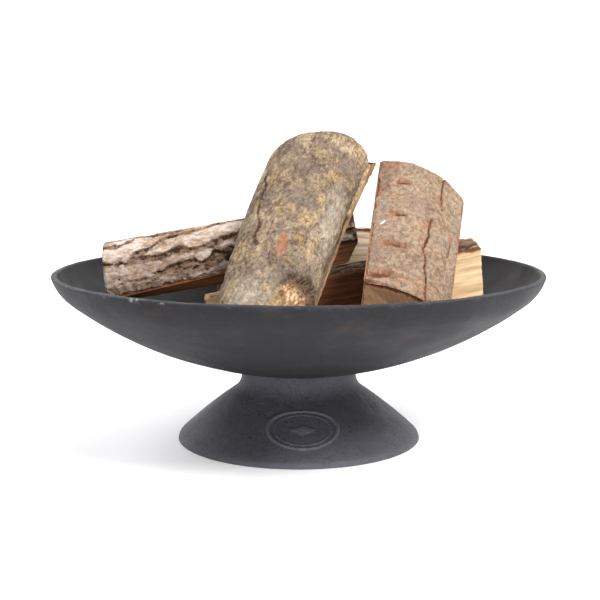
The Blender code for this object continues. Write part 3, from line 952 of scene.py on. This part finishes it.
# the sunk plate's two sides, as places along the log and how far around they lie there
SUNK_LEFT = ((0.10, 0.122, 0.139, 0.170, 0.175, 0.241),
             (0.080, 0.069, 0.068, 0.0583, 0.058, 0.0427))
SUNK_RIGHT = ((0.096, 0.122, 0.141, 0.158, 0.178), (0.104, 0.1024, 0.1047, 0.103, 0.115))
CENTRE_CUTS = dict(flake=0.0009, edge=0.0009, crack=0.0013, short=0.0008, rough=0.0007,
                   grit=0.0004, sunk=0.0014, rim_line=0.0012, torn=0.0025, knot=0.0060,
                   crumb=0.0030, bare=0.0012, level=-0.0008)
RIGHT_SCARS = ((0.034, 0.218, 0.009, 0.0042), (0.0325, 0.144, 0.009, 0.0042),
               (0.0270, 0.078, 0.014, 0.0055), (0.0180, 0.017, 0.020, 0.0075))
RIGHT_CRACKS = (
    # points, width, width of the red on both sides, strength
    (((0.0714, -0.02), (0.0689, 0.028), (0.0668, 0.054), (0.0644, 0.088), (0.0689, 0.121),
      (0.0713, 0.160)), 0.0019, 0.0070, 1.0),
    (((0.0854, 0.175), (0.0831, 0.214), (0.0848, 0.249), (0.085, 0.275)), 0.0013, 0.0050, 1.0),
    (((0.092, 0.060), (0.0968, 0.093), (0.1042, 0.150)), 0.0011, 0.0045, 0.75))
RIGHT_CUTS = dict(rough=0.0006, grit=0.0002, pits=0.0003, torn=0.0035, scar=0.0022, lips=-0.0006,
                  crack=0.0032, flaked=0.0016, nick=0.0008)
LOW_CUTS = dict(furrow=0.0022, rough=0.0008)
SPLIT_CUTS = dict(wave=0.0008, fibre=0.00045, step=0.0009, level=0.0010)


def bark_left(log):
    """Deeply furrowed bark. The furrows on the side that faces forward run slightly askew."""
    front = smooth(0.045, 0.062, log.around)
    own = furrows(log, 0.0150, 11) * (1 - front * (1 - smooth(0.19, 0.21, log.along)))
    deep = np.maximum(own, line_cracks(log, LEFT_FURROWS, 81))
    band = np.maximum(smooth(0.0, 0.35, own), line_cracks(log, LEFT_FURROWS, 81, 2.0))
    grit = log.field(0.0042, 0.0060, 15, 4, 0.7)
    lumps = log.field(0.014, 0.022, 16, 3, 0.6)
    scales = plates(log, (0.012, 0.018), 17, (-0.2, 0.25))
    low_band = smooth(0.019, 0.0165, log.from_far_edge + 0.003 * lumps)
    low_band = low_band * front * (1 - smooth(0.10, 0.13, log.along))
    torn = ragged_edge(log, 0.006, 19)
    depth = carved(LEFT_CUTS, furrow=deep, scale=1 - scales, grit=0.5 - grit, lump=0.5 - lumps,
                   low_band=low_band, torn=torn)
    brown = np.clip(0.9 * smooth(0.05, 0.6, band + 0.3 * grit)
                    + 0.30 * (1 - scales) * smooth(0.1, 0.6, -grit)
                    + 0.8 * low_band * smooth(0.5, -0.4, grit), 0, 1)
    pale = (1 - brown) * smooth(-0.3, 0.7, lumps + 0.5 * grit)
    # Painted shade: the far end, which lies behind the centre log, is painted browner and darker.
    hidden = smooth(0.245, 0.265, log.along)
    brown = np.maximum(brown, 0.6 * hidden)
    # painted shade in the furrows
    dark = smooth(0.25, 0.9, band) * smooth(0.25, -0.35, grit)
    dark = np.maximum(dark, hidden * smooth(0.3, -0.5, lumps))
    return depth, {"shade": brown, "cavity": dark, "inner": 0.35 * torn, "lichen": 0.75 * pale}


def bark_centre(log):
    """Thin flaking bark with short cracks, a sunk plate, a bare patch and a broken knot."""
    flakes = plates(log, (0.030, 0.055), 31, (-0.35, 0.15, 0.5))
    scale_edges = np.maximum(outlines(log, (0.030, 0.055), 31, (-0.35, 0.15, 0.5), 0.035),
                             outlines(log, (0.011, 0.020), 47, (-0.1, 0.45), 0.05))
    crack = fissures(log, (0.012, 0.035), 33, 0.10)
    short = fissures(log, (0.0055, 0.011), 35, 0.20)
    rough = log.field(0.008, 0.016, 37, 4, 0.65)
    grit = log.field(0.0035, 0.007, 38, 3, 0.7)
    torn = ragged_edge(log, 0.003, 39) * smooth(0.0, 0.01, log.from_far_edge)
    left, right = np.interp(log.along, *SUNK_LEFT), np.interp(log.along, *SUNK_RIGHT)
    ragged = 0.0035 * rough
    inside = smooth(-0.0006, 0.0010, log.around - left + ragged) * smooth(
        -0.0006, 0.0010, right - log.around + ragged)
    sunk = inside * smooth(0.100, 0.118, log.along) * smooth(0.1785, 0.1765, log.along + ragged)
    # painted shadow: a dark line along the sunk plate's left edge
    rim_line = np.abs(log.around - left + ragged) / 0.0022
    rim_line = (1 - smooth(0.4, 1.4, rim_line)) * smooth(0.10, 0.115, log.along) * smooth(
        0.245, 0.232, log.along)
    knot = spot(log, 0.149, 0.052, 0.028, 0.029, 0.12, ragged * 1.3)
    rim = (spot(log, 0.152, 0.055, 0.032, 0.033, 0.20, ragged * 1.3)
           * (1 - spot(log, 0.141, 0.043, 0.026, 0.024, 0.30, ragged)))
    crumbs = log.field(0.005, 0.005, 43, 4, 0.75)
    bare = spot(log, 0.1095, 0.113, 0.0065, 0.016, 0.25, ragged)
    depth = carved(CENTRE_CUTS, flake=1 - flakes, edge=scale_edges, crack=crack, short=short,
                   rough=0.7 - rough, grit=0.6 - grit, sunk=sunk, rim_line=rim_line, torn=torn,
                   knot=knot, crumb=knot * crumbs, bare=bare)
    dim = spots(log, CENTRE_DIM, 0.6, 2.5 * ragged)
    pale = spots(log, CENTRE_PALE, 0.7, 2.5 * ragged)
    # painted shade in the cracks, flake edges and the knot's hollow
    cavity = np.clip(0.80 * crack + 0.75 * short * smooth(-0.2, 0.4, rough) + rim_line
                     + 0.7 * scale_edges + 0.95 * rim * smooth(0.7, -0.1, crumbs), 0, 1)
    cavity = np.maximum(cavity, 0.85 * smooth(0.0, -0.6, crumbs) * knot)
    lower_left = spot(log, 0.141, 0.043, 0.028, 0.025, 0.35, ragged)
    # the wrapped split side: painted dark from about 0.15 m along as shade in the gap by the right
    # log, pale split wood past 0.22 m
    side = log.from_far_edge < 0.0005
    split_wood = side * smooth(0.222, 0.232, log.along + ragged)
    dark_side = side * smooth(0.15, 0.18, log.along) * (1 - split_wood)
    cavity = np.where(side, 0.9 * dark_side, cavity)
    chips = np.where(side, 0.5 * split_wood, knot * (0.10 + 0.90 * lower_left))
    red = np.clip(bare + 0.25 * knot * (1 - lower_left), 0, 1)
    return depth, {"cavity": cavity, "inner": np.where(side, 0.0, 0.5 * torn), "chips": chips,
                   "shade": np.clip(dim + 0.6 * rim + 0.5 * side, 0, 1),
                   "lichen": np.where(side, 0.0, pale), "red": red}


def bark_right(log):
    """Smooth bark with a row of lens-shaped scars and two long cracks."""
    rough = log.field(0.010, 0.014, 51, 4, 0.6)
    grit = log.field(0.0032, 0.0045, 52, 3, 0.7)
    pits = smooth(0.35, 0.9, log.field(0.0045, 0.006, 53, 3, 0.7))
    torn = ragged_edge(log, 0.004, 55) * smooth(0.0, 0.02, log.along + 0.01) * smooth(
        0.02, 0.035, log.from_far_edge + 0.25 * log.t)
    ragged = 0.0022 * rough
    scar, lips, slit = (np.maximum.reduce(marks) for marks in zip(*(
        (spot(log, a, y - 0.12 * (log.around - a), wide, tall, 0.55, ragged),
         spot(log, a - 0.003, y, wide + 0.005, tall + 0.005, 0.7, 2 * ragged),
         spot(log, a + 0.002, y - 0.12 * (log.around - a), 0.65 * wide, 0.55 * tall, 0.5,
              0.6 * ragged))
        for a, y, wide, tall in RIGHT_SCARS)))
    lips = lips * (1 - scar)
    crack = np.maximum.reduce([strength * line_crack(log, points, width, 57 + 2 * k)
                               for k, (points, width, _, strength) in enumerate(RIGHT_CRACKS)])
    halo = np.maximum.reduce([line_crack(log, points, width, 57 + 2 * k)
                              for k, (points, _, width, _) in enumerate(RIGHT_CRACKS)])
    left_edge = smooth(0.011, 0.003, log.around + 0.004 * rough)
    flaked = smooth(0.1, 0.5, log.field(0.02, 0.03, 63, 3)) * left_edge
    corner = np.maximum(spot(log, 0.0116, 0.258, 0.016, 0.010, 0.7, 2 * ragged),
                        spot(log, 0.004, 0.197, 0.006, 0.012, 0.6, ragged))
    nick = spot(log, 0.0137 + 0.6 * (log.along - 0.125), 0.1252, 0.0016, 0.0046, 0.4)
    cap_edge = smooth(0.007, 0.002, (1 - log.t) * log.length + 0.003 * rough)
    depth = carved(RIGHT_CUTS, rough=0.7 - rough, grit=0.6 - grit, pits=pits, torn=torn, scar=scar,
                   lips=lips, crack=crack, flaked=flaked, nick=nick)
    uneven = 0.6 + 0.6 * rough
    red = np.clip(0.75 * flaked + 0.70 * scar + 0.55 * halo * uneven + 0.30 * lips
                  + 0.65 * corner + 0.5 * cap_edge * uneven, 0, 1)
    red = red * (1 - 0.9 * np.maximum(slit, 0.8 * crack))
    grey = smooth(0.1, 0.8, log.field(0.022, 0.03, 65, 4, 0.65))
    # painted shade in the cracks, slits, scar hollows and pits
    cavity = np.clip(crack + 0.85 * slit + 0.5 * scar * smooth(0.6, -0.2, grit) + 0.2 * pits, 0, 1)
    return depth, {"cavity": cavity, "red": red, "inner": 0.8 * torn, "lichen": nick,
                   "shade": 0.35 * grey}


def bark_low(log):
    """The bark of the logs that lie lowest: furrowed a little, with pale lichen."""
    deep = furrows(log, 0.017, 71)
    rough = log.field(0.008, 0.014, 73, 4, 0.65)
    torn = ragged_edge(log, 0.005, 75)
    lichen = smooth(0.15, 0.75, log.field(0.016, 0.02, 77, 4, 0.6))
    bare = smooth(0.030, 0.018, log.along + 0.004 * rough)
    depth = carved(LOW_CUTS, furrow=deep, rough=0.8 - rough) * (1 - 0.8 * bare) + 0.0030 * torn
    # painted shade in the furrows
    return depth, {"cavity": np.clip(0.9 * deep + 0.1, 0, 1) * (1 - bare),
                   "inner": torn * (1 - bare), "chips": 0.9 * bare,
                   "lichen": 0.8 * lichen * (1 - deep) * (1 - torn)}


def split_faces(log, rind, seed, shadow_span=None):
    """The split sides: long fibres, shallow splinter steps and a rind of inner bark. The last
    argument gives the stretch along the log that is painted dark as painted shadow."""
    fibre = log.field(0.004, 0.09, seed, 3, 0.6)
    wave = log.field(0.03, 0.09, seed + 1, 3)
    step = plates(log, (0.012, 0.16), seed + 2, (-0.2, 0.3))
    free = smooth(0.0, 0.006, log.from_edge)
    depth = free * carved(SPLIT_CUTS, wave=wave, fibre=fibre, step=1 - step)
    wander = log.field(0.01, 0.012, seed + 3, 4, 0.65)
    inner = 1 - smooth(rind * 0.75, rind * 1.2, log.from_edge + 0.0012 * wander)
    depth = depth + 0.0007 * (1 - inner)
    # painted shade along the deepest fibre grooves
    values = {"inner": inner, "cavity": smooth(0.55, 1.0, np.abs(fibre)) * 0.6}
    if shadow_span:
        values["inner"] = inner * smooth(0.018, 0.030, log.along)
        # painted shadow across the middle of the split face, where the logs above shade it
        ragged = 0.012 * log.field(0.006, 0.05, seed + 5, 3)
        values["shade"] = smooth(-0.008, 0.008, log.along + ragged - shadow_span[0]) * smooth(
            0.008, -0.008, log.along + ragged - shadow_span[1])
    return depth, values


VALUES = ("cavity", "inner", "red", "lichen", "chips", "shade", "pith")
CHECK_ANGLES = (0.0, 1.1, -0.9, 2.2)      # the drying cracks of a sawn end, around its pith
CHECK_WIDTH = 0.0016
CHECK_DEPTH = 0.0022
SAW_PITCH = 0.0030
SAW_DEPTH = 0.0002
RIND_STEP = 0.0009
EDGE_ROUND = 0.0006                       # how far the long edges are worn down
EDGE_REACH = 0.0035
END_ROUND = 0.0011
END_REACH = 0.0022


def cap(boundary, centre, radius, outward, rind, rough, seed):
    """A sawn end: rings of points from the sides' last row in to the middle. outward is the
    way it faces along the log, 1 or -1."""
    rings = max(8, round(np.linalg.norm(boundary - boundary.mean(axis=0), axis=1).mean() / SPACING))
    middle = boundary.mean(axis=0)
    share = (1 - np.arange(1, rings) / rings)[:, None, None]
    grid = middle + (boundary - middle) * share
    grid = np.concatenate([grid, np.broadcast_to(middle, (1,) + boundary.shape)])
    offset = grid[..., [0, 2]] - centre
    pith = np.linalg.norm(offset, axis=-1)
    from_bark = radius - pith
    angle = np.arctan2(offset[..., 0], offset[..., 1])
    wander = fractal(grid, (0.008, 0.05, 0.008), seed, 4, 0.65)
    inner = 1 - smooth(rind * 0.85, rind * 1.15, from_bark + 0.0013 * wander)
    check = sum(1 - smooth(0.0, CHECK_WIDTH, np.abs((angle - a - 0.08 * wander) * pith))
                for a in CHECK_ANGLES)
    check = check * smooth(0.006, 0.018, pith) * (1 - smooth(0.6, 0.85, pith / radius))
    saw = np.sin((grid[..., 0] * 0.8 + grid[..., 2] * 0.6) / SAW_PITCH * math.pi + wander)
    bumps = fractal(grid, (0.012, 0.05, 0.012), seed + 2, 4, 0.6)
    check = np.clip(check, 0, 1)
    depth = (SAW_DEPTH * (1 + saw) + rough * (1 + bumps) + CHECK_DEPTH * check
             + RIND_STEP * inner)
    fade = smooth(0.0, 0.06, 1 - share)
    fade = np.concatenate([fade, np.ones((1, 1, 1))])[..., 0]
    grid[..., 1] -= outward * depth * fade
    # the drying cracks are stored for painted shade
    return grid, {"inner": inner, "cavity": check, "pith": pith}


def build_log(node, bark, looks, rind, end_rough, seed, shadow_span=None, wraps=0):
    """One log: its bark, its split sides and its two sawn ends, as one closed skin. looks are
    the three materials in that order."""
    log = LogSides(LOGS[node], wraps)
    bark_depth, bark_values = bark(log)
    split_depth, split_values = split_faces(log, rind, seed, shadow_span)
    depth = np.where(log.is_bark, bark_depth, split_depth)
    depth = np.maximum(depth, 0) + EDGE_ROUND * (1 - smooth(0.0, EDGE_REACH, log.from_edge))
    depth = depth + END_ROUND * (1 - smooth(0.0, END_REACH, log.from_end)) ** 2
    zero = np.zeros(log.grid.shape[:2])
    stored = {key: [np.where(log.is_bark, bark_values.get(key, zero),
                             split_values.get(key, zero)).reshape(-1)] for key in VALUES}
    sides = log.grid - log.normal * depth[..., None]
    points = [sides.reshape(-1, 3)]
    all_faces = [grid_quads(log.rows, log.columns)]
    split = np.arange(log.columns) >= log.bark_columns - 1
    all_slots = [np.tile(split, log.rows - 1).astype(int)]
    first = log.rows * log.columns
    for which, row in ((0, 0), (1, log.rows - 1)):
        grid, found = cap(sides[row], log.pith[which], log.radii[which], (-1.0, 1.0)[which], rind,
                          end_rough, seed + 40 + which)
        rings = len(grid)
        body = np.concatenate([np.arange(log.columns) + row * log.columns,
                               first + np.arange((rings - 1) * log.columns)])
        quads = body[grid_quads(rings, log.columns)]
        last_ring = body[(rings - 1) * log.columns:]
        tip = first + (rings - 1) * log.columns
        fan = np.stack([last_ring, np.roll(last_ring, -1), np.full(log.columns, tip)], axis=-1)
        if which == 0:
            quads, fan = quads[:, ::-1], fan[:, ::-1]
        all_faces += [quads, fan]
        all_slots += [np.full(len(quads), 2), np.full(len(fan), 2)]
        points += [grid[:-1].reshape(-1, 3), grid[-1, :1]]
        for key in VALUES:
            fill = found.get(key, np.zeros(grid.shape[:2]))
            stored[key] += [fill[:-1].reshape(-1), fill[-1, :1]]
        first = tip + 1
    face_list = [list(f)[::-1] if log.flip else list(f) for block in all_faces for f in block]
    local = np.concatenate(points)
    stored = {k: np.concatenate(v) for k, v in stored.items()}
    stored["grain"] = local
    turn = np.array(log.axes)
    made = make_object(node + "_wood", local @ turn[:3, :3].T + turn[:3, 3], face_list,
                       looks, np.concatenate(all_slots), stored, sharp=50)
    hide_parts(node)
    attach(made, node + "_body")


def look(**changes):
    """Bark colours and shares, with the named ones changed. Colours are screen values."""
    settings = dict(
        base=(190, 166, 138), dark=(140, 116, 92), pale=(214, 192, 164),
        warm=(204, 166, 116), green=(168, 160, 112), grey=(142, 134, 124),
        deep=(60, 44, 32), red=(186, 122, 88), red_dark=(132, 78, 52),
        inner=(172, 112, 72), inner_dark=(98, 60, 40),
        shade=(134, 122, 112), shade_dark=(92, 80, 72),
        bloom=(214, 206, 192), bloom_dark=(178, 168, 152),
        pale_share=0.7, warm_share=0.5, green_share=0.4, grey_share=0.5,
        stretch=0.5, contrast=0.45, cavity=0.9)
    settings.update(changes)
    return {key: linear(*value) if isinstance(value, tuple) else value
            for key, value in settings.items()}


def build_firewood():
    centre = bark_material("bark_centre", look(
        base=(172, 153, 131), dark=(122, 105, 90), pale=(204, 186, 160),
        warm=(192, 160, 108), green=(158, 152, 108), grey=(122, 116, 112),
        red=(178, 126, 98), red_dark=(136, 90, 68),
        contrast=0.6, pale_share=0.65, warm_share=0.6, green_share=0.5, grey_share=0.65,
        stretch=0.9))
    left = bark_material("bark_left", look(
        base=(208, 188, 173), dark=(172, 150, 134), pale=(230, 214, 202),
        warm=(198, 160, 128), grey=(160, 150, 144), deep=(54, 38, 28),
        shade=(156, 124, 98), shade_dark=(92, 66, 46), bloom=(236, 222, 214),
        bloom_dark=(196, 180, 170), green_share=0.12, grey_share=0.4, stretch=0.55, contrast=0.6,
        pale_share=0.6, warm_share=0.45))
    right = bark_material("bark_right", look(
        base=(162, 140, 120), dark=(142, 120, 100), pale=(170, 150, 130),
        warm=(170, 132, 106), grey=(142, 130, 120), deep=(78, 42, 28),
        shade=(150, 136, 124), shade_dark=(126, 112, 100),
        red=(168, 112, 84), red_dark=(112, 72, 54),
        green_share=0.12, grey_share=0.7, warm_share=0.8, stretch=0.8, contrast=0.52,
        bloom=(236, 232, 226), bloom_dark=(220, 214, 206)))
    low = bark_material("bark_low", look(
        base=(150, 118, 92), dark=(98, 74, 56), pale=(176, 154, 132),
        green_share=0.35, contrast=0.5))
    tan = split_material("split_tan", (222, 188, 142), (238, 210, 168),
                         (186, 138, 88), 0.18)
    weathered = split_material("split_weathered", (150, 118, 84), (186, 154, 114),
                               (104, 76, 52), 0.3, rind_share=0.25)
    brown = split_material("split_brown", (128, 84, 52), (160, 112, 72),
                           (78, 48, 30), 0.3)
    cream = split_material("split_cream", (250, 228, 196), (254, 242, 220),
                           (232, 196, 152), 0.12)
    ruddy = split_material("split_ruddy", (150, 112, 80), (180, 142, 106),
                           (112, 78, 54), 0.25, rind_share=0.35)
    sawn = sawn_material("sawn_end", (196, 152, 108), (214, 176, 134), (146, 104, 68))
    sawn_pale = sawn_material("sawn_end_pale", (246, 184, 132), (250, 204, 158),
                              (190, 130, 86))
    build_log("log_left", bark_left, [left, brown, sawn], 0.004, 0.0006, 100)
    build_log("log_centre", bark_centre, [centre, weathered, sawn], 0.004, 0.0006, 200, wraps=1)
    build_log("log_right", bark_right, [right, ruddy, sawn_pale], 0.008, 0.0004, 300)
    build_log("log_back", bark_low, [low, cream, sawn], 0.005, 0.0005, 400)
    # the front log's split face is painted with shadow between 0.06 m and 0.285 m along
    build_log("log_front", bark_low, [low, tan, sawn_pale], 0.004, 0.0005, 500, shadow_span=(0.06, 0.285))


def build_castings():
    # the bowl and foot are the same iron; the bowl's is painted darker as painted shade
    shaded_bowl_iron = cast_iron("cast_iron_bowl_shaded", linear(37, 37, 41), 0.34, 0.0016, 0.0004)
    foot_iron = cast_iron("cast_iron_foot", linear(80, 80, 87), 0.12, 0.0022, 0.0007)
    for made, node in ((build_bowl(shaded_bowl_iron), "bowl"), (build_foot(foot_iron), "foot")):
        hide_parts(node)
        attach(made, "root")


def build_fasteners():
    steel = zinc_steel()
    pieces = ((build_bolt(steel), "centre_bolt"), (build_nut(steel), "centre_nut"),
              (build_washer("bowl_washer_steel", "bowl_washer", steel), "bowl_washer"),
              (build_washer("foot_washer_steel", "foot_washer", steel), "foot_washer"))
    for made, node in pieces:
        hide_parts(node)
        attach(made, "root")


# ---- studio -----------------------------------------------------------------------
def build_stage():
    """A pale floor that curves up into a backdrop."""
    s = Surface("pale_paper")
    fibre = s.noise(0.02, detail=4.0)
    colour = s.mix(s.remap(fibre, 0.3, 0.7), linear(246, 246, 247), linear(250, 250, 251))
    s.finish(colour, s.remap(fibre, 0.3, 0.7, 0.95, 0.9), specular=0.1)
    s.shader.inputs["Emission Color"].default_value = (1.0, 1.0, 1.0, 1.0)
    s.shader.inputs["Emission Strength"].default_value = 0.22
    width, front, back, bend = 9.0, -6.0, 3.2, 1.6
    profile = [(front, 0.0), (back - bend, 0.0)]
    profile += [(back - bend + bend * math.sin(a), bend - bend * math.cos(a))
                for a in np.linspace(0, math.pi / 2, 24)[1:]]
    profile.append((back, 6.0))
    points = [(x, y, z) for y, z in profile for x in (-width, width)]
    faces = [(2 * i, 2 * i + 1, 2 * i + 3, 2 * i + 2) for i in range(len(profile) - 1)]
    make_object("studio_floor", points, faces, [s.material])


MIDDLE = (0.0, 0.0, 0.17)
LIGHTS = (
    # name, place, aimed at, size, watts, colour
    ("key", (1.30, -1.72, 2.25), MIDDLE, (0.7, 0.7), 74, (1.0, 0.97, 0.94)),
    ("front", (0.1, -2.8, 1.0), MIDDLE, (1.8, 0.9), 24, (0.95, 0.97, 1.0)),
    ("backdrop_left", (-2.2, 0.6, 2.6), (0.0, 2.6, 0.6), (1.6, 1.6), 70, (1, 1, 1)),
    ("backdrop_right", (2.2, 0.6, 2.6), (0.0, 2.6, 0.6), (1.6, 1.6), 70, (1, 1, 1)))
SKY_COLOUR = (0.97, 0.98, 1.0, 1.0)
SKY_STRENGTH = 0.32
CAMERA_PLACE = (0.0015, -1.4083, 0.381)
CAMERA_DIP = math.radians(8.56)
LENS = 70.2


def build_studio():
    build_stage()
    for name, place, target, size, watts, colour in LIGHTS:
        data = bpy.data.lights.new(name, "AREA")
        data.shape = "RECTANGLE"
        data.size, data.size_y = size
        data.energy = watts
        data.color = colour
        lamp = bpy.data.objects.new(name, data)
        bpy.context.scene.collection.objects.link(lamp)
        lamp.location = place
        lamp.rotation_euler = (Vector(target) - Vector(place)).to_track_quat("-Z", "Y").to_euler()
    world = bpy.data.worlds.new("studio")
    bpy.context.scene.world = world
    world.use_nodes = True
    background = world.node_tree.nodes["Background"]
    background.inputs["Color"].default_value = SKY_COLOUR
    background.inputs["Strength"].default_value = SKY_STRENGTH


def build_camera():
    data = bpy.data.cameras.new("camera")
    data.lens = LENS
    data.sensor_width = 36.0
    data.clip_end = 30.0
    made = bpy.data.objects.new("camera", data)
    bpy.context.scene.collection.objects.link(made)
    made.location = CAMERA_PLACE
    made.rotation_euler = (math.radians(90) - CAMERA_DIP, 0.0, 0.0)
    bpy.context.scene.camera = made
    bpy.context.scene.view_settings.view_transform = "Standard"


build_castings()
build_fasteners()
build_firewood()
build_studio()
build_camera()
